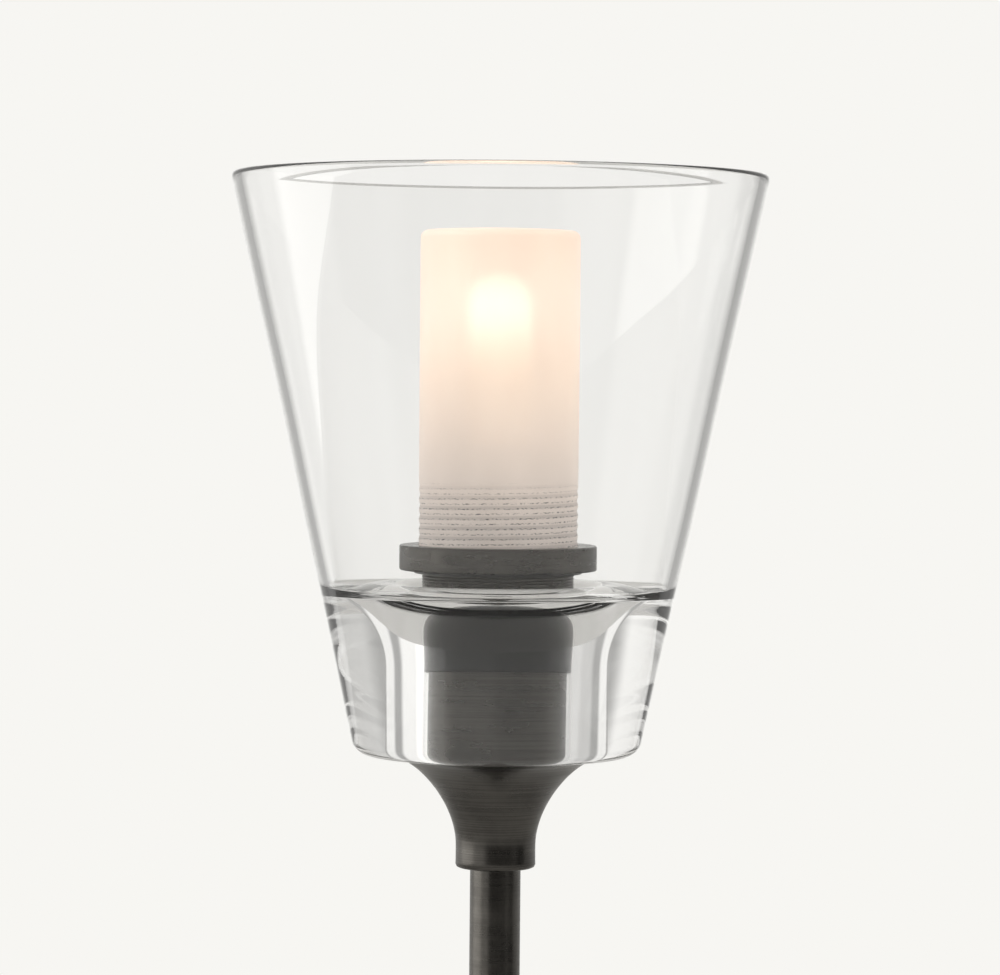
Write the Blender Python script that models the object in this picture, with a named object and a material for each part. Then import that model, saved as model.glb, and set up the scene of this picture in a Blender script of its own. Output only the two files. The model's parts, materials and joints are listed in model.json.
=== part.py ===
"""An electric garden torch: a heavy blown-glass shade over a frosted diffuser, clamped on a trumpet-shaped
holder, on a slim two-section pole that is planted in the ground with a finned spike.

Every length is in millimetres. Z = 0 is the ground line, and the head's own heights count from SEAT, the
plane that the glass shade stands on. Each part is one named object, and each turned part is the outline
(radius, height) of its section, spun round the axis."""

from math import acos, atan, cos, degrees, pi, radians, sin, tau

import bmesh
import bpy
from mathutils import Matrix, Vector

MM = 0.001
FIT = 0.3  # the play left between parts that touch
THREAD_PLAY = 0.35  # radial play of a screwed joint

# Driving dimensions
SEAT = 900.0  # height of the shade's underside above the ground
POLE_R = 12.7  # one-inch tube
POLE_WALL = 1.6
POLE_JOINT_Z = 452.0  # where the two pole sections meet
SPIGOT_LENGTH = 60.0  # joins the two pole sections from inside
SPIGOT_WALL = 2.9
SPIKE_LENGTH = 205.0
LEAD_R = 2.25  # the internal lead

# Glass shade: a straight cone with a solid base and a bore through it
SHADE_FOOT_R = 71.1  # where the cone's side would meet the seat plane
SHADE_SLOPE = 0.2196  # radius gained per unit of height
SHADE_HEIGHT = 290.0
SHADE_WALL = 4.5
SHADE_HEEL_R = 8.0  # rounding of the bottom edge
SHADE_FLOOR_Z = 81.0  # cavity floor beside the wall
SHADE_FLOOR_RISE = 10.0  # degrees, from the wall towards the crest
SHADE_FILLET_R = 6.0
SHADE_CREST_Z = 86.0  # the floor's highest circle, where the lip begins
SHADE_BORE_R = 37.0
SHADE_LIP_WIDTH = 20.0  # the lip is a quarter of an ellipse, from the crest down into the bore
SHADE_LIP_DEPTH = 36.0
SHADE_BORE_CHAMFER = 0.6

# Metal that passes through the shade
TUBE_R = 34.5
TUBE_WALL = 2.6
TUBE_TOP = 99.0
TUBE_FOOT = -1.2
TUBE_FLOOR = 4.0
GASKET_FOOT = 48.0
SLEEVE_R = 38.15
SLEEVE_FOOT = 76.0
SLEEVE_TOP = 96.6
RING_R = 49.5
RING_FOOT = 92.5
RING_TOP = 105.0
RING_SHOULDER = 97.0  # where the diffuser's seal lies
RING_WASHER_R = 42.0

# Frosted diffuser
DIFFUSER_R = 39.9
DIFFUSER_WALL = 2.9
DIFFUSER_FOOT = 98.7
DIFFUSER_TOP = 263.0

# Trumpet-shaped holder under the shade
HOLDER_TOP = -0.5
HOLDER_SEAT_Z = -1.5  # bottom of the recess that the tube stands in
HOLDER_RIM_R = 50.75
HOLDER_GROOVE_Z = -1.3
SEAT_WASHER_BORE = 37.6
SEAT_WASHER_R = 42.0
HOLDER_STEM_R = 20.0
HOLDER_FOOT = -57.0
HOLDER_WEB = 9.0  # solid metal between the pole's bore and the seat
NIPPLE_R = 4.9
NIPPLE_BORE_R = 3.4
NIPPLE_FOOT = -24.0
NIPPLE_TOP = 116.0
NUT_FLATS = 17.0
NUT_HEIGHT = 5.0

# Lamp and lampholder
LAMPHOLDER_FOOT = 110.5
LAMPHOLDER_TOP = 156.0
LAMPHOLDER_R = 21.0
LAMP_CAP_R = 13.1
LAMP_CAP_FOOT = 123.0
LAMP_CAP_TOP = 148.0
LAMP_GLASS_R = 16.0
LAMP_GLASS_TOP = 240.5
LAMP_GLASS_WALL = 0.9
LAMP_NECK_R = 11.0
FILAMENT_R = 4.5
FILAMENT_FOOT = 201.5
FILAMENT_TOP = 237.5

# Ground plate and its inlet, heights from the ground line
PLATE_R = 62.0
PLATE_THICK = 7.0
HUB_R = 25.0
HUB_CAVITY_R = 20.5
HUB_FILLET = 4.0
HUB_TOP = 66.0
POLE_FOOT = 37.0
INLET_Z = 21.0
COVER_R = 32.0
COVER_THICK = 2.4
COVER_SCREW_CIRCLE = 26.5
COVER_SCREW_R = 2.0
SET_SCREW_R = 2.5

# Sides of the turned parts
FINE = 40
ROUND = 24
SMALL = 14

MATERIALS = {  # name: (colour, roughness, metallic, transmission)
    "clear_glass": ((0.97, 0.98, 0.97), 0.02, 0.0, 1.0),
    "frosted_glass": ((0.96, 0.88, 0.76), 0.55, 0.0, 0.6),
    "bronze": ((0.045, 0.042, 0.038), 0.38, 1.0, 0.0),
    "steel": ((0.55, 0.55, 0.55), 0.35, 1.0, 0.0),
    "brass": ((0.72, 0.55, 0.27), 0.3, 1.0, 0.0),
    "porcelain": ((0.88, 0.87, 0.84), 0.25, 0.0, 0.0),
    "rubber": ((0.03, 0.03, 0.03), 0.8, 0.0, 0.0),
    "filament": ((1.0, 0.72, 0.38), 0.5, 0.0, 0.0),
    "lead_sheath": ((0.05, 0.05, 0.05), 0.6, 0.0, 0.0),
}


def clear_scene():
    for obj in list(bpy.data.objects):
        bpy.data.objects.remove(obj, do_unlink=True)


def material(name):
    found = bpy.data.materials.get(name)
    if found:
        return found
    colour, roughness, metallic, transmission = MATERIALS[name]
    made = bpy.data.materials.new(name)
    made.use_nodes = True
    shader = made.node_tree.nodes["Principled BSDF"]
    shader.inputs["Base Color"].default_value = (*colour, 1.0)
    shader.inputs["Roughness"].default_value = roughness
    shader.inputs["Metallic"].default_value = metallic
    shader.inputs["Transmission Weight"].default_value = transmission
    return made


def place(name, mesh, finish, at=(0, 0, 0), parent=None):
    """Adds the mesh to the scene as a smooth-shaded object standing at a point given in millimetres."""
    mesh.materials.append(material(finish))
    mesh.shade_smooth()
    mesh.set_sharp_from_angle(angle=radians(35))
    obj = bpy.data.objects.new(name, mesh)
    bpy.context.collection.objects.link(obj)
    obj.location = Vector(at) * MM
    obj.parent = parent
    return obj


def mesh_from(bm, name):
    bmesh.ops.recalc_face_normals(bm, faces=bm.faces)
    mesh = bpy.data.meshes.new(name)
    bm.to_mesh(mesh)
    bm.free()
    return mesh


def arc(centre, radius, start, end, steps):
    """Points (r, z) on a circular arc between two angles in degrees, both ends included."""
    angles = [radians(start + (end - start) * i / steps) for i in range(steps + 1)]
    return [(centre[0] + radius * cos(a), centre[1] + radius * sin(a)) for a in angles]


def bezier(a, b, c, d, steps):
    """Points on a cubic Bezier curve, both ends included."""
    points = []
    for i in range(steps + 1):
        t = i / steps
        u = 1 - t
        weights = (u**3, 3 * u * u * t, 3 * u * t * t, t**3)
        points.append(tuple(sum(w * p[k] for w, p in zip(weights, (a, b, c, d))) for k in (0, 1)))
    return points


def spun_mesh(name, outline, steps):
    """Spins an outline (r, z) round Z. One that ends on the axis closes there, any other closes on itself."""
    bm = bmesh.new()
    rim = [bm.verts.new((r * MM, 0, z * MM)) for r, z in outline]
    pairs = list(zip(rim, rim[1:]))
    if outline[0][0] > 0 or outline[-1][0] > 0:
        pairs.append((rim[-1], rim[0]))
    edges = [bm.edges.new(pair) for pair in pairs]
    bmesh.ops.spin(
        bm, geom=rim + edges, cent=(0, 0, 0), axis=(0, 0, 1), angle=tau, steps=steps, use_merge=True
    )
    bmesh.ops.remove_doubles(bm, verts=bm.verts, dist=1e-6)
    return mesh_from(bm, name)


def turned(name, outline, finish, steps=ROUND, at=(0, 0, 0), parent=None):
    return place(name, spun_mesh(name, outline, steps), finish, at, parent)


def sleeve_outline(inner, outer, foot, top, chamfer=0.0):
    """A plain ring's section, with its outer edges chamfered."""
    return [
        (inner, foot),
        (outer - chamfer, foot),
        (outer, foot + chamfer),
        (outer, top - chamfer),
        (outer - chamfer, top),
        (inner, top),
    ] if chamfer else [(inner, foot), (outer, foot), (outer, top), (inner, top)]


def prism_mesh(name, corners, bore, foot, top):
    """An upright prism with a round hole: the hole has as many sides as the outline times four."""
    count = len(corners) * 4
    outer = []
    for i, corner in enumerate(corners):
        following = corners[(i + 1) % len(corners)]
        for k in range(4):
            outer.append([c + (f - c) * k / 4 for c, f in zip(corner, following)])
    start = pi / 2 if not corners[0][0] else 0.0
    inner = [(bore * cos(start + tau * i / count), bore * sin(start + tau * i / count)) for i in range(count)]
    bm = bmesh.new()
    rings = [
        [bm.verts.new((x * MM, y * MM, z * MM)) for x, y in loop]
        for loop, z in ((inner, foot), (outer, foot), (outer, top), (inner, top))
    ]
    for lower, upper in zip(rings, rings[1:] + rings[:1]):
        for i in range(count):
            j = (i + 1) % count
            bm.faces.new((lower[i], lower[j], upper[j], upper[i]))
    return mesh_from(bm, name)


def hexagon(flats):
    corner = flats / 2 / cos(pi / 6)
    return [(corner * cos(tau * i / 6), corner * sin(tau * i / 6)) for i in range(6)]


def hex_nut(name, flats, bore, foot, height, finish, parent=None):
    mesh = prism_mesh(name, hexagon(flats), bore, foot, foot + height)
    return place(name, mesh, finish, parent=parent)


def cutter(name, radius, length, at, direction, parent=None):
    """A hidden cylinder, used only to cut a hole."""
    bm = bmesh.new()
    turn = Vector(direction).to_track_quat("Z", "Y").to_matrix().to_4x4()
    bmesh.ops.create_cone(
        bm, cap_ends=True, segments=SMALL, radius1=radius * MM, radius2=radius * MM, depth=length * MM,
        matrix=Matrix.Translation(Vector(at) * MM) @ turn,
    )
    obj = bpy.data.objects.new(name, mesh_from(bm, name))
    bpy.context.collection.objects.link(obj)
    obj.parent = parent
    obj.hide_render = True
    obj.display_type = "WIRE"
    return obj


def cut(obj, tools):
    """Takes each tool's volume away from obj."""
    for tool in tools:
        modifier = obj.modifiers.new(tool.name, "BOOLEAN")
        modifier.operation = "DIFFERENCE"
        modifier.solver = "EXACT"
        modifier.object = tool


# ---------------------------------------------------------------- the glass and what clamps it


def lip_points(gap, start, end, steps):
    """Points on the lip of the bore, or at a small gap off it; 0 degrees is the crest and 90 the bore."""
    centre = (SHADE_BORE_R + SHADE_LIP_WIDTH, SHADE_CREST_Z - SHADE_LIP_DEPTH)
    width, depth = SHADE_LIP_WIDTH + gap, SHADE_LIP_DEPTH + gap
    angles = [radians(start + (end - start) * i / steps) for i in range(steps + 1)]
    return [(centre[0] - width * sin(a), centre[1] + depth * cos(a)) for a in angles]


def shade_outline():
    """The glass section: heel, outer cone, rolled rim, inner cone, cavity floor, lip of the bore, bore."""
    tilt = degrees(atan(SHADE_SLOPE))
    lean = cos(radians(tilt))

    def outer_r(z):
        return SHADE_FOOT_R + SHADE_SLOPE * z

    heel = (outer_r(SHADE_HEEL_R) - SHADE_HEEL_R / lean, SHADE_HEEL_R)
    rim_z = SHADE_HEIGHT - SHADE_WALL / 2
    rim = (outer_r(rim_z) - SHADE_WALL / 2 / lean, rim_z)
    fillet_z = SHADE_FLOOR_Z + SHADE_FILLET_R
    fillet = (outer_r(fillet_z) - (SHADE_WALL + SHADE_FILLET_R) / lean, fillet_z)
    corner = arc(fillet, SHADE_FILLET_R, -tilt, -90 - SHADE_FLOOR_RISE, 4)
    lip = lip_points(0, 0, 90, 8)
    reach = (corner[-1][0] - lip[0][0]) * 0.4
    floor = bezier(
        corner[-1],
        (corner[-1][0] - reach, corner[-1][1] + reach * sin(radians(SHADE_FLOOR_RISE))),
        (lip[0][0] + reach, SHADE_CREST_Z),
        lip[0],
        4,
    )
    return (
        [(SHADE_BORE_R, SHADE_BORE_CHAMFER), (SHADE_BORE_R + SHADE_BORE_CHAMFER, 0)]
        + arc(heel, SHADE_HEEL_R, -90, -tilt, 5)
        + arc(rim, SHADE_WALL / 2, -tilt, 180 - tilt, 6)
        + corner[:-1]
        + floor[:-1]
        + lip
    )


def add_glass(head):
    """The shade, the washer it stands on, and the tapered gasket that centres the metal in its bore."""
    turned("glass_shade", shade_outline(), "clear_glass", FINE, parent=head)
    washer = sleeve_outline(SEAT_WASHER_BORE, SEAT_WASHER_R, HOLDER_GROOVE_Z + FIT, -FIT)
    turned("shade_seat_washer", washer, "rubber", FINE, parent=head)
    inner = TUBE_R + FIT
    top = SLEEVE_FOOT - FIT
    lip_centre_z = SHADE_CREST_Z - SHADE_LIP_DEPTH
    top_angle = degrees(acos((top - lip_centre_z) / (SHADE_LIP_DEPTH + FIT)))
    gasket = [(inner, GASKET_FOOT), (SHADE_BORE_R - FIT, GASKET_FOOT)] + lip_points(FIT, 90, top_angle, 5)
    gasket += [(inner, top)]
    turned("clamp_gasket", gasket, "rubber", FINE, parent=head)


def add_clamp(head):
    """The tube through the glass, the threaded sleeve that presses the glass down, the diffuser's ring."""
    tube = [
        (NIPPLE_R + FIT, TUBE_FOOT),
        (TUBE_R, TUBE_FOOT),
        (TUBE_R, TUBE_TOP - 0.8),
        (TUBE_R - 0.8, TUBE_TOP),
        (TUBE_R - TUBE_WALL, TUBE_TOP),
        (TUBE_R - TUBE_WALL, TUBE_FLOOR),
        (NIPPLE_R + FIT, TUBE_FLOOR),
    ]
    turned("centre_tube", tube, "bronze", FINE, parent=head)
    sleeve = sleeve_outline(TUBE_R + THREAD_PLAY, SLEEVE_R, SLEEVE_FOOT, SLEEVE_TOP, 0.6)
    turned("clamp_sleeve", sleeve, "bronze", FINE, parent=head)
    ring = [
        (SLEEVE_R + THREAD_PLAY, RING_FOOT),
        (RING_R - 0.8, RING_FOOT),
        (RING_R, RING_FOOT + 0.8),
        (RING_R, RING_TOP - 1.2),
        (RING_R - 1.2, RING_TOP),
        (DIFFUSER_R + THREAD_PLAY, RING_TOP),
        (DIFFUSER_R + THREAD_PLAY, RING_SHOULDER),
        (SLEEVE_R + THREAD_PLAY, RING_SHOULDER),
    ]
    turned("diffuser_ring", ring, "bronze", FINE, parent=head)
    washer = sleeve_outline(SLEEVE_R + FIT, RING_WASHER_R, RING_FOOT - 1.5, RING_FOOT - FIT)
    turned("ring_washer", washer, "rubber", FINE, parent=head)


def add_diffuser(head):
    """A frosted glass cylinder, closed on top and open below, on a flat seal."""
    seal = sleeve_outline(36.2, DIFFUSER_R, RING_SHOULDER + FIT, DIFFUSER_FOOT - FIT)
    turned("diffuser_seal", seal, "rubber", FINE, parent=head)
    inner = DIFFUSER_R - DIFFUSER_WALL
    edge = 4.0
    outline = [(inner, DIFFUSER_FOOT), (DIFFUSER_R - 1.2, DIFFUSER_FOOT), (DIFFUSER_R, DIFFUSER_FOOT + 1.2)]
    outline += arc((DIFFUSER_R - edge, DIFFUSER_TOP - edge - 0.9), edge, 0, 90, 4)
    outline += [(DIFFUSER_R * 0.5, DIFFUSER_TOP - 0.2), (0, DIFFUSER_TOP)]
    outline += [(0, DIFFUSER_TOP - DIFFUSER_WALL), (inner - 2, DIFFUSER_TOP - DIFFUSER_WALL - 0.9)]
    outline += [(inner, DIFFUSER_TOP - DIFFUSER_WALL - 2.9)]
    turned("frosted_diffuser", outline, "frosted_glass", FINE, parent=head)


# ---------------------------------------------------------------- lamp and lampholder


def add_lampholder(head):
    holder = [
        (NIPPLE_R + FIT, LAMPHOLDER_FOOT),
        (LAMPHOLDER_R - 3, LAMPHOLDER_FOOT),
        (LAMPHOLDER_R, LAMPHOLDER_FOOT + 3),
        (LAMPHOLDER_R, LAMPHOLDER_TOP - 1),
        (LAMPHOLDER_R - 1, LAMPHOLDER_TOP),
        (LAMP_CAP_R + 1.4, LAMPHOLDER_TOP),
        (LAMP_CAP_R + 1.4, 117.5),
        (NIPPLE_R + FIT, 117.5),
    ]
    turned("lampholder_body", holder, "porcelain", parent=head)
    shell = sleeve_outline(LAMP_CAP_R + 0.4, LAMP_CAP_R + 1.1, 124.0, 150.0)
    turned("lampholder_screw_shell", shell, "brass", parent=head)
    contact = sleeve_outline(1.2, 4.0, 119.0, 120.4)
    turned("lampholder_centre_contact", contact, "brass", SMALL, parent=head)
    bracket = sleeve_outline(NIPPLE_R + FIT, 16.0, 108.2, LAMPHOLDER_FOOT - FIT)
    turned("lampholder_plate", bracket, "steel", parent=head)
    hex_nut("lampholder_locknut", NUT_FLATS, NIPPLE_R + FIT, 102.9, NUT_HEIGHT, "brass", head)


def add_lamp(head):
    cap = [(0, LAMP_CAP_FOOT), (7.5, LAMP_CAP_FOOT), (LAMP_CAP_R, LAMP_CAP_FOOT + 5)]
    cap += [(LAMP_CAP_R, LAMP_CAP_TOP), (11.4, LAMP_CAP_TOP), (11.4, LAMP_CAP_TOP - 8), (0, LAMP_CAP_TOP - 8)]
    turned("lamp_screw_cap", cap, "brass", ROUND, parent=head)
    contact = [(0, 120.8), (3.4, 120.8), (4.4, 121.8), (4.4, LAMP_CAP_FOOT - FIT), (0, LAMP_CAP_FOOT - FIT)]
    turned("lamp_foot_contact", contact, "brass", SMALL, parent=head)
    neck, wall = LAMP_NECK_R, LAMP_GLASS_WALL
    foot, shoulder = LAMP_CAP_TOP - 7.5, LAMP_CAP_TOP + 12
    crown = (0, LAMP_GLASS_TOP - LAMP_GLASS_R)
    outline = [(neck, foot), (neck, LAMP_CAP_TOP + 2), (LAMP_GLASS_R, shoulder)]
    outline += arc(crown, LAMP_GLASS_R, 0, 90, 5)[:-1] + [(0, LAMP_GLASS_TOP)]
    outline += [(0, LAMP_GLASS_TOP - wall)] + arc(crown, LAMP_GLASS_R - wall, 90, 0, 5)[1:]
    outline += [(LAMP_GLASS_R - wall, shoulder + 0.4), (neck - wall, LAMP_CAP_TOP + 2.4), (neck - wall, foot)]
    turned("lamp_glass", outline, "frosted_glass", ROUND, parent=head)
    stem_r, tip_r = neck - wall - 0.5, 2.4
    stem = [(0, foot - 0.2), (stem_r, foot - 0.2), (stem_r, LAMP_CAP_TOP - 3)]
    stem += [(tip_r + 0.8, LAMP_CAP_TOP + 10), (tip_r, FILAMENT_FOOT - 2.5), (0, FILAMENT_FOOT - 1.5)]
    turned("lamp_stem", stem, "clear_glass", SMALL, parent=head)
    lower = arc((0, FILAMENT_FOOT + FILAMENT_R), FILAMENT_R, -90, 0, 4)
    upper = arc((0, FILAMENT_TOP - FILAMENT_R), FILAMENT_R, 0, 90, 4)
    core = [(0, FILAMENT_FOOT)] + lower[1:] + upper[:-1] + [(0, FILAMENT_TOP)]
    turned("lamp_filament", core, "filament", SMALL, parent=head)


# ---------------------------------------------------------------- holder and pole


def holder_outline():
    """The trumpet: a thin rim under the shade that sweeps down to a straight stem, bored for the pole."""
    bore = POLE_R + FIT
    web_foot = HOLDER_SEAT_Z - HOLDER_WEB
    groove_r, groove_bore = SEAT_WASHER_R + FIT, SEAT_WASHER_BORE - FIT
    trumpet = bezier(
        (HOLDER_RIM_R - 0.2, -1.8), (39.1, -3.9), (HOLDER_STEM_R, -25.2), (HOLDER_STEM_R, -46.0), 10
    )
    return (
        [(NIPPLE_R + FIT, HOLDER_SEAT_Z), (NIPPLE_R + FIT, web_foot), (bore, web_foot)]
        + [(bore, HOLDER_FOOT), (HOLDER_STEM_R - 0.8, HOLDER_FOOT), (HOLDER_STEM_R, HOLDER_FOOT + 0.8)]
        + trumpet[::-1]
        + [(HOLDER_RIM_R, HOLDER_SEAT_Z), (HOLDER_RIM_R, HOLDER_TOP - 0.2), (HOLDER_RIM_R - 0.2, HOLDER_TOP)]
        + [(groove_r, HOLDER_TOP), (groove_r, HOLDER_GROOVE_Z), (groove_bore, HOLDER_GROOVE_Z)]
        + [(groove_bore, HOLDER_TOP)]
        + [(TUBE_R + FIT, HOLDER_TOP), (TUBE_R + FIT, HOLDER_SEAT_Z)]
    )


def grub_screw(name, radius, inner, outer, height, angle, parent=None):
    """A headless set screw lying along a radius of the pole."""
    turn = Matrix.Rotation(angle, 4, "Z") @ Matrix.Rotation(pi / 2, 4, "Y")
    tip = radius - 0.4
    mesh = spun_mesh(name, [(0, inner), (tip, inner), (radius, inner + 0.4), (radius, outer), (0, outer)], 12)
    mesh.transform(Matrix.Translation((0, 0, height * MM)) @ turn)
    return place(name, mesh, "steel", parent=parent)


def add_holder(head):
    holder = turned("shade_holder", holder_outline(), "bronze", FINE, parent=head)
    screw_z = -42.0
    angles = [radians(35), radians(90), radians(145)]  # all round the back
    tools = [
        cutter(f"holder_screw_hole_{i}", SET_SCREW_R + FIT, 12, (16.5 * cos(a), 16.5 * sin(a), screw_z),
               (cos(a), sin(a), 0), head)
        for i, a in enumerate(angles)
    ]
    cut(holder, tools)
    for i, a in enumerate(angles):
        grub_screw(f"holder_set_screw_{i + 1}", SET_SCREW_R, POLE_R + FIT, 19.6, screw_z, a, head)
    nipple = sleeve_outline(NIPPLE_BORE_R, NIPPLE_R, NIPPLE_FOOT, NIPPLE_TOP)
    turned("threaded_nipple", nipple, "brass", SMALL, parent=head)
    washer_top = TUBE_FLOOR + 1.8
    washer = sleeve_outline(NIPPLE_R + FIT, 11.0, TUBE_FLOOR + FIT, washer_top)
    turned("tube_washer", washer, "steel", ROUND, parent=head)
    hex_nut("tube_locknut", NUT_FLATS, NIPPLE_R + FIT, washer_top + FIT, NUT_HEIGHT, "brass", head)
    bush = sleeve_outline(NIPPLE_R + FIT, POLE_R - POLE_WALL - FIT, NIPPLE_FOOT, -12.5)
    turned("pole_top_bush", bush, "brass", ROUND, parent=head)


def add_pole():
    """Two lengths of tube, joined end to end on a spigot."""
    bore = POLE_R - POLE_WALL
    top = SEAT + HOLDER_SEAT_Z - HOLDER_WEB - FIT
    upper = sleeve_outline(bore, POLE_R, POLE_JOINT_Z + FIT, top)
    turned("pole_upper", upper, "bronze", ROUND)
    turned("pole_lower", sleeve_outline(bore, POLE_R, POLE_FOOT, POLE_JOINT_Z), "bronze", ROUND)
    half, wall = SPIGOT_LENGTH / 2, SPIGOT_WALL
    spigot = sleeve_outline(bore - FIT - wall, bore - FIT, POLE_JOINT_Z - half, POLE_JOINT_Z + half)
    turned("pole_spigot", spigot, "steel", ROUND)


# ---------------------------------------------------------------- ground plate, spike and inlet


def cover_screw_places():
    """The three places (x, y) of the screws that hold the cover on the plate."""
    angles = [tau * (i + 0.5) / 3 for i in range(3)]
    return [(COVER_SCREW_CIRCLE * cos(a), COVER_SCREW_CIRCLE * sin(a)) for a in angles]


def add_ground_plate():
    """Flange, hub and collar in one turned piece, bored for the pole, the gland and the screws."""
    flange = PLATE_THICK - 2
    outline = [
        (COVER_R + FIT, 0),
        (PLATE_R - 1.5, 0),
        (PLATE_R, 1.5),
        (PLATE_R, flange),
        (PLATE_R - 2, PLATE_THICK),
    ]
    outline += arc((HUB_R + HUB_FILLET, PLATE_THICK + HUB_FILLET), HUB_FILLET, -90, -180, 4)
    outline += [(HUB_R, 36.0)] + bezier((HUB_R, 38.0), (HUB_R, 48), (18, 50), (17.2, HUB_TOP - 1), 6)
    outline += [
        (16.2, HUB_TOP),
        (POLE_R + FIT, HUB_TOP),
        (POLE_R + FIT, POLE_FOOT - FIT),
        (POLE_R - POLE_WALL, POLE_FOOT - FIT),
        (POLE_R - POLE_WALL, 34.0),
        (HUB_CAVITY_R, 30.0),
        (HUB_CAVITY_R, COVER_THICK + 0.9),
        (COVER_R + FIT, COVER_THICK + 0.9),
    ]
    plate = turned("ground_plate", outline, "bronze", 28)
    tools = [cutter("inlet_hole", 6.3, 30, (0, 26, INLET_Z), (0, 1, 0))]
    for i, (x, y) in enumerate(cover_screw_places()):
        tools.append(cutter(f"cover_screw_tap_{i}", COVER_SCREW_R + FIT, 12, (x, y, 4), (0, 0, 1)))
    screw_z = 57.0
    tools.append(cutter("plate_screw_hole", SET_SCREW_R + FIT, 12, (0, 17.0, screw_z), (0, 1, 0)))
    cut(plate, tools)
    grub_screw("plate_set_screw", SET_SCREW_R, POLE_R + FIT, 16.4, screw_z, pi / 2)


def add_cover():
    """The steel plate that closes the hub from below and carries the spike."""
    foot = 0.4
    top = foot + COVER_THICK
    cover = turned("base_cover", sleeve_outline(8.4, COVER_R, foot, top), "steel", ROUND)
    tools = []
    head_foot, head_top, head_r, tip = -1.6, foot - FIT, 3.8, 9.0
    screw = [(0, head_foot), (head_r - 0.4, head_foot), (head_r, head_foot + 0.6), (head_r, head_top)]
    screw += [(COVER_SCREW_R, head_top), (COVER_SCREW_R, tip), (0, tip)]
    for i, (x, y) in enumerate(cover_screw_places()):
        tools.append(cutter(f"cover_screw_hole_{i}", COVER_SCREW_R + FIT, 12, (x, y, 0), (0, 0, 1)))
        turned(f"cover_screw_{i + 1}", screw, "steel", 12, at=(x, y, 0))
    cut(cover, tools)


def add_spike():
    """A stud and shoulder over four tapering fins that meet at a point."""
    shoulder, foot = -5.0, 0.1
    outline = [(0, shoulder - 1), (14, shoulder - 1), (14, foot), (8.0, foot), (8.0, 14.0), (0, 14.0)]
    turned("spike_stud", outline, "steel", ROUND)
    bm = bmesh.new()
    rings = []
    half = 1.5
    for reach, z in ((24.0, shoulder - 1 - FIT), (24.0, -40.0), (2.4, -SPIKE_LENGTH)):
        loop = [(reach, -half), (reach, half), (half, half)]
        quarters = [i * pi / 2 for i in range(4)]
        points = [(x * cos(q) - y * sin(q), x * sin(q) + y * cos(q)) for q in quarters for x, y in loop]
        rings.append([bm.verts.new((x * MM, y * MM, z * MM)) for x, y in points])
    for upper, lower in zip(rings, rings[1:]):
        for i in range(12):
            j = (i + 1) % 12
            bm.faces.new((upper[i], upper[j], lower[j], lower[i]))
    bm.faces.new(rings[0])
    bm.faces.new(rings[-1])
    place("ground_spike", mesh_from(bm, "ground_spike"), "steel")
    hex_nut("spike_nut", 24.0, 8.0 + FIT, 0.4 + COVER_THICK + FIT, 6.0, "steel")


def add_inlet():
    """A cable gland at the back of the hub: body, rubber seal and clamping nut, with nothing passing in."""
    back = Matrix.Translation((0, 0, INLET_Z * MM)) @ Matrix.Rotation(-pi / 2, 4, "X")
    body = [(3.4, 21.5), (6.0, 21.5), (6.0, HUB_R + FIT + 0.2), (9.0, HUB_R + FIT + 0.2), (9.0, 31.0)]
    body += [(7.0, 31.0), (7.0, 38.0), (5.4, 38.0), (5.4, 30.0), (3.4, 30.0)]
    seal = sleeve_outline(3.2, 5.1, 30.0 + FIT, 38.4)
    nut = [(3.6, 41.5), (3.6, 38.4 + FIT), (7.35, 38.4 + FIT), (7.35, 31.6), (9.0, 31.6), (9.0, 39.5)]
    nut += [(7.0, 41.5)]
    for name, outline, finish in (
        ("gland_body", body, "brass"), ("gland_seal", seal, "rubber"), ("gland_nut", nut, "brass")
    ):
        mesh = spun_mesh(name, outline, SMALL)
        mesh.transform(back)
        place(name, mesh, finish)


def add_lead():
    """The lead from the gland to the lampholder: in along Y, round a bend, then straight up the pole."""
    bend = 18.0
    route = [(0, 20.8, INLET_Z), (0, bend + 1, INLET_Z)]
    centre = (bend, INLET_Z + bend)
    for i in range(1, 9):
        a = radians(270 - 90 * i / 8)
        route.append((0, centre[0] + bend * cos(a), centre[1] + bend * sin(a)))
    top = SEAT + NIPPLE_TOP + 0.5
    straight = [INLET_Z + bend + (top - INLET_Z - bend) * i / 6 for i in range(1, 7)]
    route += [(0, 0, z) for z in straight]
    curve = bpy.data.curves.new("internal_lead", "CURVE")
    curve.dimensions = "3D"
    curve.bevel_depth = LEAD_R * MM
    curve.bevel_resolution = 2
    curve.render_resolution_u = 0
    curve.use_fill_caps = True
    spline = curve.splines.new("POLY")
    spline.points.add(len(route) - 1)
    for point, position in zip(spline.points, route):
        point.co = (*[c * MM for c in position], 1)
    curve.materials.append(material("lead_sheath"))
    obj = bpy.data.objects.new("internal_lead", curve)
    bpy.context.collection.objects.link(obj)


def build():
    clear_scene()
    head = bpy.data.objects.new("head", None)
    head.location = (0, 0, SEAT * MM)
    bpy.context.collection.objects.link(head)
    add_glass(head)
    add_clamp(head)
    add_diffuser(head)
    add_lampholder(head)
    add_lamp(head)
    add_holder(head)
    add_pole()
    add_ground_plate()
    add_cover()
    add_spike()
    add_inlet()
    add_lead()


build()
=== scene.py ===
"""Looks of the garden torch: blown-glass shade, frosted diffuser with a lit lamp, blackened metal and
fixings.

Lengths in the outlines are in millimetres. The head's heights count from SEAT, the plane the shade stands on,
and the ground plate's from the ground line."""

import json
from math import atan, cos, degrees, pi, radians, sin, sqrt, tau

import bmesh
import bpy
from mathutils import Euler, Matrix, Vector


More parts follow.
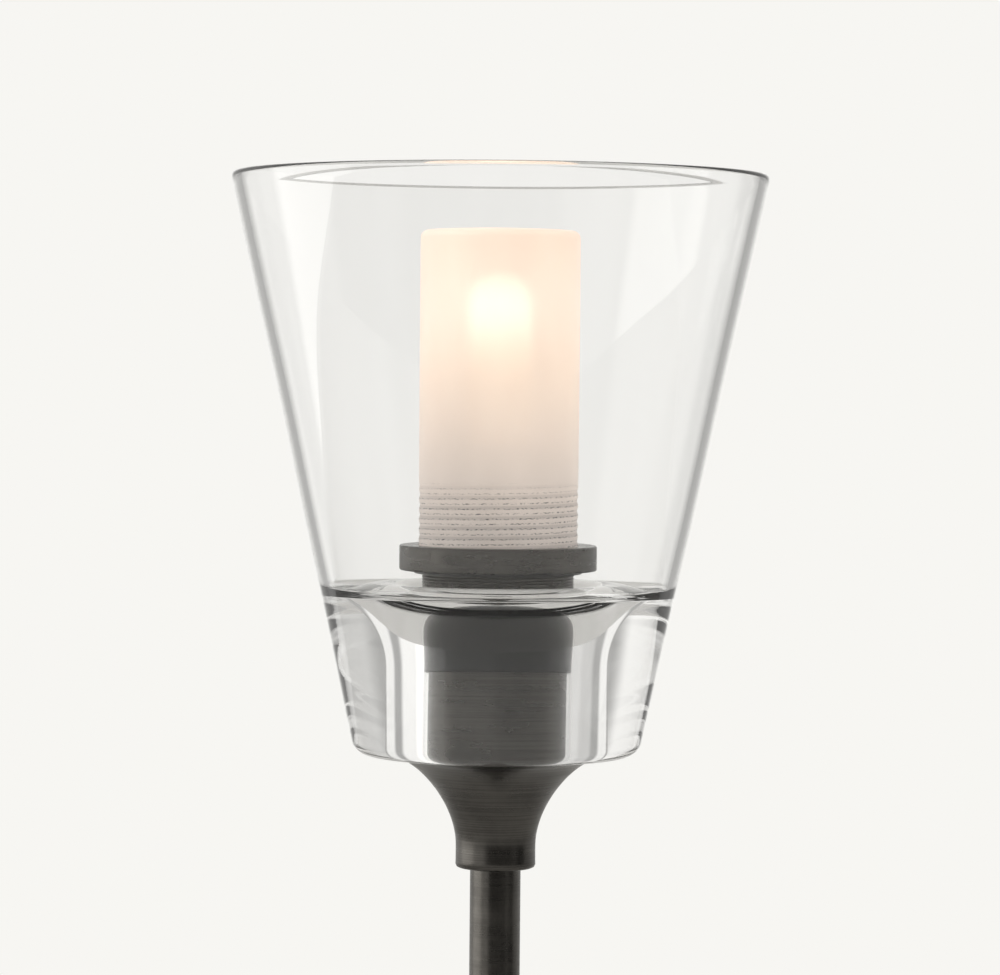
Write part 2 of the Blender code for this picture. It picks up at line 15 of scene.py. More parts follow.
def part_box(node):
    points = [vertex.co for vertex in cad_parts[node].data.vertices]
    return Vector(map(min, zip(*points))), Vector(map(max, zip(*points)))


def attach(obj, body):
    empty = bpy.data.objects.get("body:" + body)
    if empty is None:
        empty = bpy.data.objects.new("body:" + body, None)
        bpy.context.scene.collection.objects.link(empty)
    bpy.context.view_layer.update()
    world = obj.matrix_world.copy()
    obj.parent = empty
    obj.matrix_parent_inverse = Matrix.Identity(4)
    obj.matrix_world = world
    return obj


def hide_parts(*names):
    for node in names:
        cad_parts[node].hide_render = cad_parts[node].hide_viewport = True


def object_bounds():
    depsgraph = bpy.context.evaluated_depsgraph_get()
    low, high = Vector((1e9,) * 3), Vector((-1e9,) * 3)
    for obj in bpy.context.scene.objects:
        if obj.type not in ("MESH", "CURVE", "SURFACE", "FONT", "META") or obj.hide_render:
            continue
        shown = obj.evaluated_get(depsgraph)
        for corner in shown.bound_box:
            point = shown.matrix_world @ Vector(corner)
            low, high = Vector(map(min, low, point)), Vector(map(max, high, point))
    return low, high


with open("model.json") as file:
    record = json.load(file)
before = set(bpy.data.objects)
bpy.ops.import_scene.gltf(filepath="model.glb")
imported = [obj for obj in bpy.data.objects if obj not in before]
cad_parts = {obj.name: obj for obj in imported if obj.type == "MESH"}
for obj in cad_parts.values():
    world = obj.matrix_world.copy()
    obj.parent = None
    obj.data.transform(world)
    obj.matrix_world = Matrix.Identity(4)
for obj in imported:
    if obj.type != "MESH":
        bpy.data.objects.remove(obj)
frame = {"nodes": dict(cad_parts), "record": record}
CAD_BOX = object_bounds()

MM = 0.001
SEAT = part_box("glass_shade")[0][2] / MM
PALE = (0.930, 0.921, 0.890)  # the studio's backdrop, as linear light
FINE = 160  # sides of a large turned piece
SMALL = 64
MEDIUM = 96
PLAY = 0.3  # gap between two pieces that fit into each other

DIFFUSER_PITCH = 5.0
DIFFUSER_THREAD_TOP = 139.0
RING_PITCH = 1.5
CLAMP_PITCH = 2.0
LAMP_PITCH = 3.6286
LAMP_CENTRE = 225.0
LAMP_LIGHT = 2.8

# ---------------------------------------------------------------- outlines


def arc(centre, radius, start, end, steps):
    """Points (r, z) on a circular arc between two angles in degrees, both ends included."""
    angles = [radians(start + (end - start) * i / steps) for i in range(steps + 1)]
    return [(centre[0] + radius * cos(a), centre[1] + radius * sin(a)) for a in angles]


def bezier(a, b, c, d, steps):
    """Points on a cubic Bezier curve, both ends included."""
    points = []
    for i in range(steps + 1):
        t = i / steps
        u = 1 - t
        weights = (u**3, 3 * u * u * t, 3 * u * t * t, t**3)
        points.append(tuple(sum(w * p[k] for w, p in zip(weights, (a, b, c, d))) for k in (0, 1)))
    return points


def tube(inner, outer, foot, top):
    return [(inner, foot), (outer, foot), (outer, top), (inner, top)]


def is_capped(outline):
    """True for a solid outline, which begins and ends on the axis."""
    return outline[0][0] == 0 and outline[-1][0] == 0


def softened(outline, radius, steps=3, least_turn=25):
    """The outline with its corners rounded off; shallow bends and points on the axis stay as they are."""
    points = []
    count = len(outline)
    for i, (r, z) in enumerate(outline):
        before = Vector(outline[i - 1]) - Vector((r, z))
        after = Vector(outline[(i + 1) % count]) - Vector((r, z))
        turn = 180 - degrees(before.angle(after)) if before.length and after.length else 0
        if r == 0 or turn < least_turn:
            points.append((r, z))
            continue
        cut = min(radius, before.length * 0.45, after.length * 0.45)
        start = Vector((r, z)) + before.normalized() * cut
        end = Vector((r, z)) + after.normalized() * cut
        for k in range(steps + 1):
            t = k / steps
            points.append(tuple(start * (1 - t) ** 2 + Vector((r, z)) * (2 * t * (1 - t)) + end * t * t))
    return points


def finely(outline, step, low=None, high=None):
    """The outline with extra points, none further apart than step, all over or between two heights."""
    points = []
    pairs = list(zip(outline, outline[1:] + outline[:1]))
    if is_capped(outline):
        pairs = pairs[:-1]
    for (r0, z0), (r1, z1) in pairs:
        inside = low is None or (min(z0, z1) < high and max(z0, z1) > low)
        count = max(1, round(sqrt((r1 - r0) ** 2 + (z1 - z0) ** 2) / step)) if inside else 1
        points += [(r0 + (r1 - r0) * i / count, z0 + (z1 - z0) * i / count) for i in range(count)]
    if is_capped(outline):
        points.append(outline[-1])
    return points


# ---------------------------------------------------------------- meshes


def turned_mesh(name, outline, sides, base, shape=None):
    """Turns an outline (r, z) round the axis; shape(r, z, angle) may move each point in r and z."""
    capped = is_capped(outline)
    body = outline[1:-1] if capped else outline
    bm = bmesh.new()
    rings = []
    for r, z in body:
        ring = []
        for i in range(sides):
            angle = tau * i / sides
            rr, zz = shape(r, z, angle) if shape else (r, z)
            ring.append(bm.verts.new((rr * cos(angle) * MM, rr * sin(angle) * MM, (zz + base) * MM)))
        rings.append(ring)
    pairs = list(zip(rings, rings[1:]))
    if not capped:
        pairs.append((rings[-1], rings[0]))
    for lower, upper in pairs:
        for i in range(sides):
            j = (i + 1) % sides
            bm.faces.new((lower[i], lower[j], upper[j], upper[i]))
    if capped:
        for ring, z in ((rings[0], outline[0][1]), (rings[-1], outline[-1][1])):
            pole = bm.verts.new((0, 0, (z + base) * MM))
            for i in range(sides):
                bm.faces.new((ring[i], ring[(i + 1) % sides], pole))
    bmesh.ops.recalc_face_normals(bm, faces=bm.faces)
    mesh = bpy.data.meshes.new(name)
    bm.to_mesh(mesh)
    bm.free()
    return mesh


def thread(radius, foot, top, pitch, depth, fade=3.0):
    """A right-hand screw thread cut into the points at one radius, fading out at both ends."""

    def shape(r, z, angle):
        if abs(r - radius) > 0.05 or z < foot or z > top:
            return r, z
        wave = 0.5 - 0.5 * cos(tau * (z / pitch - angle / tau))
        return r - depth * wave * min(1.0, (z - foot) / fade, (top - z) / fade), z

    return shape


def bored(mesh, holes):
    """The mesh with round holes cut in it; each hole is (radius, length, centre, direction)."""
    obj = bpy.data.objects.new("bored", mesh)
    bpy.context.scene.collection.objects.link(obj)
    tools = []
    for radius, length, centre, direction in holes:
        bm = bmesh.new()
        turn = Vector(direction).to_track_quat("Z", "Y").to_matrix().to_4x4()
        bmesh.ops.create_cone(
            bm, cap_ends=True, segments=48, radius1=radius * MM, radius2=radius * MM, depth=length * MM,
            matrix=Matrix.Translation(Vector(centre) * MM) @ turn,
        )
        tool_mesh = bpy.data.meshes.new("hole")
        bm.to_mesh(tool_mesh)
        bm.free()
        tool = bpy.data.objects.new("hole", tool_mesh)
        bpy.context.scene.collection.objects.link(tool)
        modifier = obj.modifiers.new("hole", "BOOLEAN")
        modifier.operation = "DIFFERENCE"
        modifier.solver = "EXACT"
        modifier.object = tool
        tools.append(tool)
    bpy.context.view_layer.update()
    result = bpy.data.meshes.new_from_object(obj.evaluated_get(bpy.context.evaluated_depsgraph_get()))
    for done in (obj, *tools):
        bpy.data.objects.remove(done, do_unlink=True)
    return result


def piece(name, mesh, finish, body, replaced=(), sharp=40):
    """Adds a finished piece that rides on a body and stands for CAD nodes."""
    mesh.materials.clear()
    mesh.materials.append(finish)
    mesh.shade_smooth()
    mesh.set_sharp_from_angle(angle=radians(sharp))
    obj = bpy.data.objects.new(name, mesh)
    bpy.context.scene.collection.objects.link(obj)
    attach(obj, body)
    if replaced:
        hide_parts(*replaced)
    return obj


def extent(node):
    """Outer radius, foot and top of a CAD node that is turned round the axis, in millimetres."""
    low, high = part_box(node)
    return high[0] / MM, low[2] / MM - SEAT, high[2] / MM - SEAT


# ---------------------------------------------------------------- node helpers


class Nodes:
    """A short way to write a node tree."""

    def __init__(self, tree):
        self.tree = tree
        tree.nodes.clear()

    def add(self, kind, **settings):
        node = self.tree.nodes.new(kind)
        inputs = settings.pop("inputs", {})
        for key, value in settings.items():
            setattr(node, key, value)
        for key, value in inputs.items():
            self.put(node.inputs[key], value)
        return node

    def put(self, socket, value):
        if isinstance(value, bpy.types.NodeSocket):
            self.tree.links.new(value, socket)
        elif socket.type == "RGBA" and len(value) == 3:
            socket.default_value = (*value, 1)
        else:
            socket.default_value = value

    def math(self, operation, *values):
        node = self.add("ShaderNodeMath", operation=operation)
        for socket, value in zip(node.inputs, values):
            self.put(socket, value)
        return node.outputs[0]

    def step(self, value, low, high, out_low=0.0, out_high=1.0):
        """A smooth step from out_low at low to out_high at high."""
        node = self.add("ShaderNodeMapRange", interpolation_type="SMOOTHSTEP")
        for socket, given in zip(node.inputs, (value, low, high, out_low, out_high)):
            self.put(socket, given)
        return node.outputs[0]

    def colours(self, factor, a, b):
        """Colour a where the factor is 0, b where it is 1."""
        node = self.add("ShaderNodeMix", data_type="RGBA")
        for index, value in ((0, factor), (6, a), (7, b)):
            self.put(node.inputs[index], value)
        return node.outputs[2]

    def noise(self, vector, scale, detail=3.0, roughness=0.5):
        inputs = {"Vector": vector, "Scale": scale, "Detail": detail, "Roughness": roughness}
        return self.add("ShaderNodeTexNoise", inputs=inputs).outputs[0]

    def place(self):
        """Where a point of the object is at rest, in metres."""
        return self.add("ShaderNodeTexCoord").outputs["Object"]

    def stretched(self, x, y, z):
        """The place at rest with each axis scaled; a large scale gives fine detail along it."""
        return self.add("ShaderNodeMapping", inputs={"Vector": self.place(), "Scale": (x, y, z)}).outputs[0]

    def bell(self, value, centre, width):
        """A bell curve: 1 at the centre, falling to nothing on both sides."""
        away = self.math("DIVIDE", self.math("SUBTRACT", value, centre), width)
        return self.math("EXPONENT", self.math("MULTIPLY", self.math("MULTIPLY", away, away), -1.0))

    def bump(self, height, strength, distance):
        inputs = {"Height": height, "Strength": strength, "Distance": distance}
        return self.add("ShaderNodeBump", inputs=inputs).outputs[0]


def new_material(name):
    material = bpy.data.materials.new(name)
    material.use_nodes = True
    nodes = Nodes(material.node_tree)
    shader = nodes.add("ShaderNodeBsdfPrincipled")
    output = nodes.add("ShaderNodeOutputMaterial")
    nodes.put(output.inputs["Surface"], shader.outputs[0])
    return material, nodes, shader


# ---------------------------------------------------------------- materials


def clear_glass():
    """Hand-blown glass, with a breath of grey in upright streaks where it is drawn thinner."""
    material, nodes, shader = new_material("clear_glass")
    drawn = nodes.noise(nodes.stretched(60, 60, 5), 1.0, 2.0, 0.5)
    nodes.put(shader.inputs["Base Color"], nodes.colours(drawn, (0.972, 0.972, 0.968), (1.0, 1.0, 0.998)))
    nodes.put(shader.inputs["Transmission Weight"], 1.0)
    nodes.put(shader.inputs["Roughness"], 0.0)
    nodes.put(shader.inputs["IOR"], 1.5)
    return material


def blackened_metal(name, lines):
    """Dark bronze turned on a lathe: fine rings that catch the light, and a soft uneven patina."""
    dark, light = (0.066, 0.062, 0.057), (0.112, 0.106, 0.097)
    material, nodes, shader = new_material(name)
    rings = nodes.noise(nodes.stretched(14, 14, 1700), 1.0, 3.0, 0.65)
    broad = nodes.noise(nodes.stretched(9, 9, 260), 1.0, 2.0, 0.5)
    patina = nodes.noise(nodes.place(), 55.0, 4.0, 0.6)
    scratches = nodes.step(nodes.noise(nodes.stretched(28, 28, 2400), 1.0, 1.0, 0.4), 0.70, 0.78)
    tone = nodes.math("ADD", nodes.math("MULTIPLY", rings, lines),
                      nodes.math("MULTIPLY", patina, 1.0 - lines))
    tone = nodes.math("ADD", nodes.step(tone, 0.34, 0.66), nodes.math("MULTIPLY", scratches, 0.35))
    nodes.put(shader.inputs["Base Color"], nodes.colours(tone, dark, light))
    nodes.put(shader.inputs["Metallic"], 1.0)
    rough = nodes.math("ADD", nodes.step(broad, 0.25, 0.75, 0.0, 0.09),
                       nodes.step(patina, 0.3, 0.7, 0.22, 0.28))
    nodes.put(shader.inputs["Roughness"], rough)
    nodes.put(shader.inputs["Normal"], nodes.bump(rings, 0.22 * lines + 0.02, 0.00005))
    return material


def frosted_glass():
    """Sand-blasted glass with a painted glow for the lamp's light: brightest over the lamp, peach round it,
    paler towards its ends; grey painted shade in the thread grooves and dark speckled lines along its thread."""
    material, nodes, shader = new_material("frosted_glass")
    axes = nodes.add("ShaderNodeSeparateXYZ", inputs={"Vector": nodes.place()})
    x, y, z = axes.outputs
    height = nodes.math("SUBTRACT", nodes.math("MULTIPLY", z, 1 / MM), SEAT)
    grain = nodes.noise(nodes.place(), 1500.0, 2.0, 0.6)
    cloud = nodes.noise(nodes.stretched(30, 30, 12), 1.0, 3.0, 0.5)
    phase = nodes.math("SUBTRACT", nodes.math("DIVIDE", height, DIFFUSER_PITCH),
                       nodes.math("DIVIDE", nodes.math("ARCTAN2", y, x), tau))
    swing = nodes.math("SINE", nodes.math("MULTIPLY", phase, tau))
    groove = nodes.step(swing, 0.0, 0.9)
    twin = nodes.step(nodes.math("SINE", nodes.math("MULTIPLY", phase, 2 * tau)), 0.35, 0.95)
    speck = nodes.step(nodes.noise(nodes.stretched(700, 700, 1900), 1.0, 1.0, 0.5), 0.46, 0.66)
    threaded = nodes.step(height, DIFFUSER_THREAD_TOP + 1, DIFFUSER_THREAD_TOP - 14)
    # dark speckled lines along the thread flanks: they darken the colour and dim the painted glow
    dark_thread_lines = nodes.math("MULTIPLY", nodes.math("MULTIPLY", twin, speck), threaded)
    shadow = nodes.math("MULTIPLY", groove, nodes.math("MULTIPLY", threaded, 0.45))
    body = nodes.colours(cloud, (0.54, 0.51, 0.49), (0.62, 0.59, 0.57))
    body = nodes.colours(shadow, body, (0.30, 0.285, 0.28))
    body = nodes.colours(dark_thread_lines, body, (0.07, 0.07, 0.08))
    nodes.put(shader.inputs["Base Color"], body)
    nodes.put(shader.inputs["Transmission Weight"], 0.5)
    nodes.put(shader.inputs["Roughness"], 0.36)
    nodes.put(shader.inputs["IOR"], 1.35)
    # painted glow: emission colour and strength in bells round the lamp's height stand in for the lamp's
    # light through the glass
    near = nodes.bell(height, LAMP_CENTRE, 34.0)
    wide = nodes.bell(height, LAMP_CENTRE + 5, 90.0)
    glow = nodes.colours(near, nodes.colours(wide, (1.0, 0.92, 0.86), (1.0, 0.77, 0.58)), (1.0, 0.81, 0.66))
    strength = nodes.math("ADD", nodes.math("MULTIPLY", wide, 0.31), 0.19)
    # the painted glow is dimmed along the dark thread lines and under the painted shade in the thread grooves
    veiled = nodes.math("SUBTRACT", 1.0, nodes.math("MULTIPLY", dark_thread_lines, 0.85))
    veiled = nodes.math("SUBTRACT", veiled, nodes.math("MULTIPLY", shadow, 0.4))
    strength = nodes.math("MULTIPLY", strength, veiled)
    strength = nodes.math("MULTIPLY", strength, nodes.step(cloud, 0.2, 0.8, 0.92, 1.06))
    nodes.put(shader.inputs["Emission Color"], glow)
    nodes.put(shader.inputs["Emission Strength"], strength)
    nodes.put(shader.inputs["Normal"], nodes.bump(grain, 0.12, 0.0001))
    return material


def lamp_glow():
    """The lamp's opal envelope, brightest round its filament."""
    material, nodes, shader = new_material("opal_lamp")
    z = nodes.add("ShaderNodeSeparateXYZ", inputs={"Vector": nodes.place()}).outputs[2]
    height = nodes.math("SUBTRACT", nodes.math("MULTIPLY", z, 1 / MM), SEAT)
    cloud = nodes.noise(nodes.place(), 90.0, 3.0, 0.5)
    core = nodes.bell(height, LAMP_CENTRE, 24.0)
    nodes.put(shader.inputs["Base Color"], nodes.colours(cloud, (0.90, 0.87, 0.82), (0.96, 0.94, 0.90)))
    nodes.put(shader.inputs["Roughness"], 0.4)
    nodes.put(shader.inputs["Emission Color"], nodes.colours(core, (1.0, 0.70, 0.42), (1.0, 0.95, 0.82)))
    strength = nodes.math("ADD", nodes.math("MULTIPLY", core, LAMP_LIGHT), 0.20)
    strength = nodes.math("MULTIPLY", strength, nodes.step(cloud, 0.2, 0.8, 0.94, 1.04))
    nodes.put(shader.inputs["Emission Strength"], strength)
    return material


def worn(name, dark, light, metallic, smooth, rough, scale, relief, stretch=(1, 1, 1)):
    """A plain material with the unevenness of use: two tones, uneven gloss and a little relief."""
    material, nodes, shader = new_material(name)
    mottle = nodes.noise(nodes.stretched(*stretch), scale, 5.0, 0.6)
    fine = nodes.noise(nodes.stretched(*stretch), scale * 9, 2.0, 0.5)
    tone = nodes.math("ADD", nodes.math("MULTIPLY", mottle, 0.7), nodes.math("MULTIPLY", fine, 0.3))
    tone = nodes.step(tone, 0.35, 0.65)
    nodes.put(shader.inputs["Base Color"], nodes.colours(tone, dark, light))
    nodes.put(shader.inputs["Metallic"], metallic)
    nodes.put(shader.inputs["Roughness"], nodes.step(mottle, 0.3, 0.7, smooth, rough))
    nodes.put(shader.inputs["Normal"], nodes.bump(fine, relief, 0.0002))
    return material


def filament():
    """Glowing wire, a little uneven along its coil."""
    material, nodes, shader = new_material("filament")
    coil = nodes.noise(nodes.stretched(200, 200, 2500), 1.0, 2.0, 0.5)
    nodes.put(shader.inputs["Base Color"], nodes.colours(coil, (0.9, 0.5, 0.2), (1.0, 0.8, 0.5)))
    nodes.put(shader.inputs["Emission Color"], nodes.colours(coil, (1.0, 0.62, 0.28), (1.0, 0.86, 0.6)))
    nodes.put(shader.inputs["Emission Strength"], 6.0)
    return material


# ---------------------------------------------------------------- the shade

SHADE = {"foot_r": 71.1, "slope": 0.2196, "height": 290.0, "wall": 4.5, "heel": 8.0, "floor": 81.0,
         "fillet": 6.0, "bore": 37.0, "crest": 86.0, "lip_width": 20.0, "lip_depth": 36.0}
FLOOR_RISE = 10  # degrees
BED = 0.6  # how far the ground foot of the glass beds into the holder's seat
BED_R = 50.3


def shade_outline(s):
    """The cone's wall, a floor that rises from the corner to a crest, and a lip that falls into the bore."""
    tilt = degrees(atan(s["slope"]))
    lean = cos(radians(tilt))

    def outer_r(z):
        return s["foot_r"] + s["slope"] * z

    heel = (outer_r(s["heel"]) - s["heel"] / lean, s["heel"])
    rim_z = s["height"] - s["wall"] / 2
    rim = (outer_r(rim_z) - s["wall"] / 2 / lean, rim_z)
    fillet_z = s["floor"] + s["fillet"]
    fillet = (outer_r(fillet_z) - (s["wall"] + s["fillet"]) / lean, fillet_z)
    corner = arc(fillet, s["fillet"], -tilt, -90 - FLOOR_RISE, 24)
    crest = (s["bore"] + s["lip_width"], s["crest"])
    reach = (corner[-1][0] - crest[0]) * 0.4
    slope_end = (corner[-1][0] - reach, corner[-1][1] + reach * sin(radians(FLOOR_RISE)))
    lip_z = s["crest"] - s["lip_depth"]
    lip = [(crest[0] - s["lip_width"] * sin(a), lip_z + s["lip_depth"] * cos(a))
           for a in [pi / 2 * i / 36 for i in range(1, 37)]]
    return (
        [(s["bore"], 0.2), (s["bore"] + 0.8, -BED), (BED_R, -BED), (BED_R + BED, 0)]
        + arc(heel, s["heel"], -90, -tilt, 18)
        + arc(rim, s["wall"] / 2, -tilt, 180 - tilt, 18)
        + corner[:-1]
        + bezier(corner[-1], slope_end, (crest[0] + reach, crest[1]), crest, 16)
        + lip
    )


def blown(r, z, angle):
    """The slight unevenness of blown glass, which dies away towards the ground seat and the bore."""
    free = max(0.0, min(1.0, (z - 10) / 60)) * max(0.0, min(1.0, (r - 60) / 20))
    wave = 0.22 * sin(3 * angle + 0.016 * z + 0.7) + 0.14 * sin(7 * angle - 0.03 * z)
    wave += 0.10 * sin(0.05 * z + 2)
    return r + free * (wave - 0.3), z


def add_shade(finish):
    step, sides = 5.0, 200
    mesh = turned_mesh("shade", finely(shade_outline(SHADE), step), sides, SEAT, blown)
    piece("shade", mesh, finish, "shade", ["glass_shade"], sharp=60)


# ---------------------------------------------------------------- diffuser, ring, sleeve and tube


def add_diffuser(finish):
    outer, foot, top = extent("frosted_diffuser")
    wall, edge, crown = 2.9, 4.0, 0.9
    inner = outer - wall
    outline = [(0, top - wall), (inner - 5, top - wall - 0.5)]
    outline += arc((inner - 3, top - wall - crown - 3), 3, 80, 0, 6)
    outline += [(inner, foot + 0.8), (inner + 0.8, foot), (outer - 1.2, foot), (outer, foot + 1.2)]
    outline += arc((outer - edge, top - edge - crown), edge, 0, 82, 10)
    outline += [(outer * 0.5, top - 0.2), (0, top)]
    low = foot + 4
    fine = finely(outline, 0.45, low, DIFFUSER_THREAD_TOP + 2)
    shape = thread(outer, low, DIFFUSER_THREAD_TOP, DIFFUSER_PITCH, 0.55, 8.0)
    mesh = turned_mesh("diffuser", fine, FINE, SEAT, shape)
    piece("diffuser", mesh, finish, "diffuser", ["frosted_diffuser"], sharp=60)


def add_ring(finish):
    outer, foot, top = extent("diffuser_ring")
    sleeve_r = extent("clamp_sleeve")[0]
    diffuser_r = extent("frosted_diffuser")[0]
    shoulder = extent("diffuser_seal")[1] - 0.3
    inner = sleeve_r + 0.35
    seat = diffuser_r + 0.35
    outline = [(inner, foot), (outer, foot), (outer, top), (seat, top), (seat, shoulder), (inner, shoulder)]
    outline = finely(softened(outline, 1.1, 4), 3.0)
    mesh = turned_mesh("diffuser_ring", outline, FINE, SEAT)
    piece("diffuser_collar", mesh, finish, "diffuser_ring", ["diffuser_ring"])


def add_sleeve(finish):
    outer, foot, top = extent("clamp_sleeve")
    outline = finely(softened(tube(outer - 3.3, outer, foot, top), 0.7, 3), 0.2, foot, top)
    shape = thread(outer, foot + 0.8, top - 0.8, RING_PITCH, 0.45, 0.8)
    mesh = turned_mesh("clamp_sleeve", outline, FINE, SEAT, shape)
    piece("threaded_sleeve", mesh, finish, "clamp_sleeve", ["clamp_sleeve"], sharp=60)


def add_tube(finish):
    outer, foot, top = extent("centre_tube")
    bore = extent("threaded_nipple")[0] + PLAY
    wall, floor, thread_foot = 2.6, 4.0, 74.0
    outline = [(bore, foot), (outer, foot), (outer, top)]
    outline += [(outer - wall, top), (outer - wall, floor), (bore, floor)]
    fine = finely(softened(outline, 0.6, 3), 0.35, thread_foot, top)
    shape = thread(outer, thread_foot, top - 0.8, CLAMP_PITCH, 0.4, 2.0)
    mesh = turned_mesh("tube", fine, FINE, SEAT, shape)
    piece("centre_tube_turned", mesh, finish, "pole", ["centre_tube"], sharp=60)


def add_gasket(finish):
    """Tapered gasket between the glass and the metal; it follows the lip of the bore."""
    inner = extent("centre_tube")[0] + PLAY
    _, foot, top = extent("clamp_gasket")
    lip_z = SHADE["crest"] - SHADE["lip_depth"]
    centre_r = SHADE["bore"] + SHADE["lip_width"]
    steps = 18
    lip = []
    for i in range(steps + 1):
        angle = pi / 2 * (1 - i / steps)
        z = lip_z + (SHADE["lip_depth"] + PLAY) * cos(angle)
        if z < top - 0.2:
            lip.append((centre_r - (SHADE["lip_width"] + PLAY) * sin(angle), z))
    outline = [(inner, foot), (SHADE["bore"] - PLAY, foot)] + lip + [(lip[-1][0] + 1.0, top), (inner, top)]
    mesh = turned_mesh("gasket", softened(outline, 0.5), FINE, SEAT)
    piece("bore_gasket", mesh, finish, "clamp_gasket", ["clamp_gasket"])


# ---------------------------------------------------------------- lamp and lampholder


def add_envelope(opal):
    """The lamp's glass: a narrow neck that opens into a round-topped cylinder, with its inner face."""
    radius, foot, top = extent("lamp_glass")
    wall, neck = 0.9, 11.0
    crown = (0, top - radius)
    outline = [(neck - wall, foot), (neck, foot)]
    outline += bezier((neck, foot + 9), (neck, foot + 15), (radius, foot + 15), (radius, foot + 26), 10)
    outline += arc(crown, radius, 0, 88, 16)
    inner = [(r - wall, z - (wall if r < 1 else 0)) for r, z in arc(crown, radius, 0, 80, 14)]
    outline = [(0, top)] + outline[::-1] + inner + [(0, top - wall)]
    mesh = turned_mesh("lamp_envelope", outline, SMALL, SEAT)
    piece("lamp_envelope", mesh, opal, "lamp", ["lamp_glass"])


def add_lamp_cap(brass):
    radius, foot, top = extent("lamp_screw_cap")
    contact_r, socket_r, socket = 7.5, 11.4, 8
    cap = [(0, foot), (contact_r, foot), (radius - 1.2, foot + 4), (radius, foot + 5.5), (radius, top)]
    cap += [(socket_r, top), (socket_r, top - socket), (0, top - socket)]
    fine = finely(softened(cap, 0.6), 0.4, foot + 5, top)
    shape = thread(radius, foot + 6, top - 2, LAMP_PITCH, 0.9, 1.5)
    mesh = turned_mesh("lamp_cap", fine, MEDIUM, SEAT, shape)
    piece("lamp_cap", mesh, brass, "lamp", ["lamp_screw_cap"], sharp=60)


def add_lampholder(porcelain):
    """A cup with a bevelled foot and a step below its mouth."""
    radius, foot, top = extent("lampholder_body")
    bore = extent("threaded_nipple")[0] + PLAY
    mouth, floor, bevel, step = 14.5, foot + 7, 3, 1.5
    outline = [(bore, foot), (radius - bevel, foot), (radius, foot + bevel)]
    outline += [(radius, top - 12), (radius - step, top - 10), (radius - step, top)]
    outline += [(mouth, top), (mouth, floor), (bore, floor)]
    mesh = turned_mesh("lampholder", softened(outline, 1.4, 5), MEDIUM, SEAT)
    piece("lampholder", mesh, porcelain, "pole", ["lampholder_body"])


# ---------------------------------------------------------------- holder and pole


def add_holder(finish):
    """The trumpet under the glass, with its seat, its bore for the pole and three set-screw holes."""
    rim, foot, top = extent("shade_holder")
    pole = extent("pole_upper")[0] + PLAY
    washer = extent("shade_seat_washer")[0] + PLAY
    tube_r = extent("centre_tube")[0] + PLAY
    bore = extent("threaded_nipple")[0] + PLAY
    stem, web, seat, groove, land, edge = 20.0, 9.0, -1.5, -1.3, 3.5, 0.65
    trumpet = bezier((rim - 0.2, -1.8), (39.1, -3.9), (stem, -25.2), (stem, -46.0), 48)
    outline = (
        [(bore, seat), (bore, seat - web), (pole, seat - web), (pole, foot)]
        + [(stem - 1.6, foot), (stem - 0.5, foot + 0.5), (stem + 0.1, foot + 1.8), (stem, foot + 4)]
        + trumpet[::-1]
        + arc((rim - edge, top - edge), edge, -60, 90, 8)
        + [(washer, top), (washer, groove), (tube_r + land, groove), (tube_r + land, top)]
        + [(tube_r, top), (tube_r, seat)]
    )
    mesh = turned_mesh("holder", outline, FINE, SEAT)
    low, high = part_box("holder_set_screw_1")
    screw_z = (low[2] + high[2]) / 2 / MM
    hole_r, hole_length = 2.8, 12
    holes = []
    for i in (1, 2, 3):
        low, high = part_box(f"holder_set_screw_{i}")
        x, y = ((low[k] + high[k]) / 2 / MM for k in (0, 1))
        holes.append((hole_r, hole_length, (x, y, screw_z), (x, y, 0)))
    piece("trumpet", bored(mesh, holes), finish, "pole", ["shade_holder"], sharp=50)


def add_pole(finish):
    wall, step = 1.6, 40
    for node, name in (("pole_upper", "upper_tube"), ("pole_lower", "lower_tube")):
        outer, foot, top = extent(node)
        outline = finely(softened(tube(outer - wall, outer, foot, top), 0.5, 3), step)
        mesh = turned_mesh(name, outline, MEDIUM, SEAT)
        piece(name, mesh, finish, "pole", [node])


# ---------------------------------------------------------------- ground plate and gland


def add_ground_plate(finish):
    """Flange, hub and collar in one turned piece, with holes for the gland and the screws."""
    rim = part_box("ground_plate")[1][0] / MM
    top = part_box("ground_plate")[1][2] / MM
    pole = extent("pole_lower")[0]
    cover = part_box("base_cover")[1][0] / MM + PLAY
    hub, cavity, thick, fillet, inner_floor, edge = 25.0, 20.5, 7.0, 4.0, 3.3, 1.2
    pole_foot, wall = 36.7, 1.6
    outline = [(cover, 0), (rim - edge, 0), (rim, edge), (rim, thick - 2.4)]
    outline += bezier((rim, thick - 2.2), (rim, thick - 0.8), (rim - edge, thick - 0.4), (rim - 4, thick), 6)
    outline += arc((hub + fillet, thick + fillet), fillet, -90, -180, 12)
    outline += [(hub, 36)] + bezier((hub, 38), (hub, 48), (18, 50), (17.2, top - 1.2), 20)
    outline += [(16.2, top), (pole + 0.7, top), (pole + PLAY, top - 0.5), (pole + PLAY, pole_foot)]
    outline += [(pole - wall, pole_foot), (pole - wall, 34), (cavity, 30)]
    outline += [(cavity, inner_floor), (cover, inner_floor)]
    mesh = turned_mesh("plate", outline, FINE, 0)
    gland_z = (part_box("gland_body")[0][2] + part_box("gland_body")[1][2]) / 2 / MM
    gland_hole = (6.3, 30, (0, 26, gland_z), (0, 1, 0))
    set_screw_hole = (2.8, 12, (0, 17, 57), (0, 1, 0))
    holes = [gland_hole, set_screw_hole]
    for i in (1, 2, 3):
        low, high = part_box(f"cover_screw_{i}")
        holes.append((2.3, 12, ((low[0] + high[0]) / 2 / MM, (low[1] + high[1]) / 2 / MM, 4), (0, 0, 1)))
    piece("plate_and_hub", bored(mesh, holes), finish, "pole", ["ground_plate"], sharp=45)


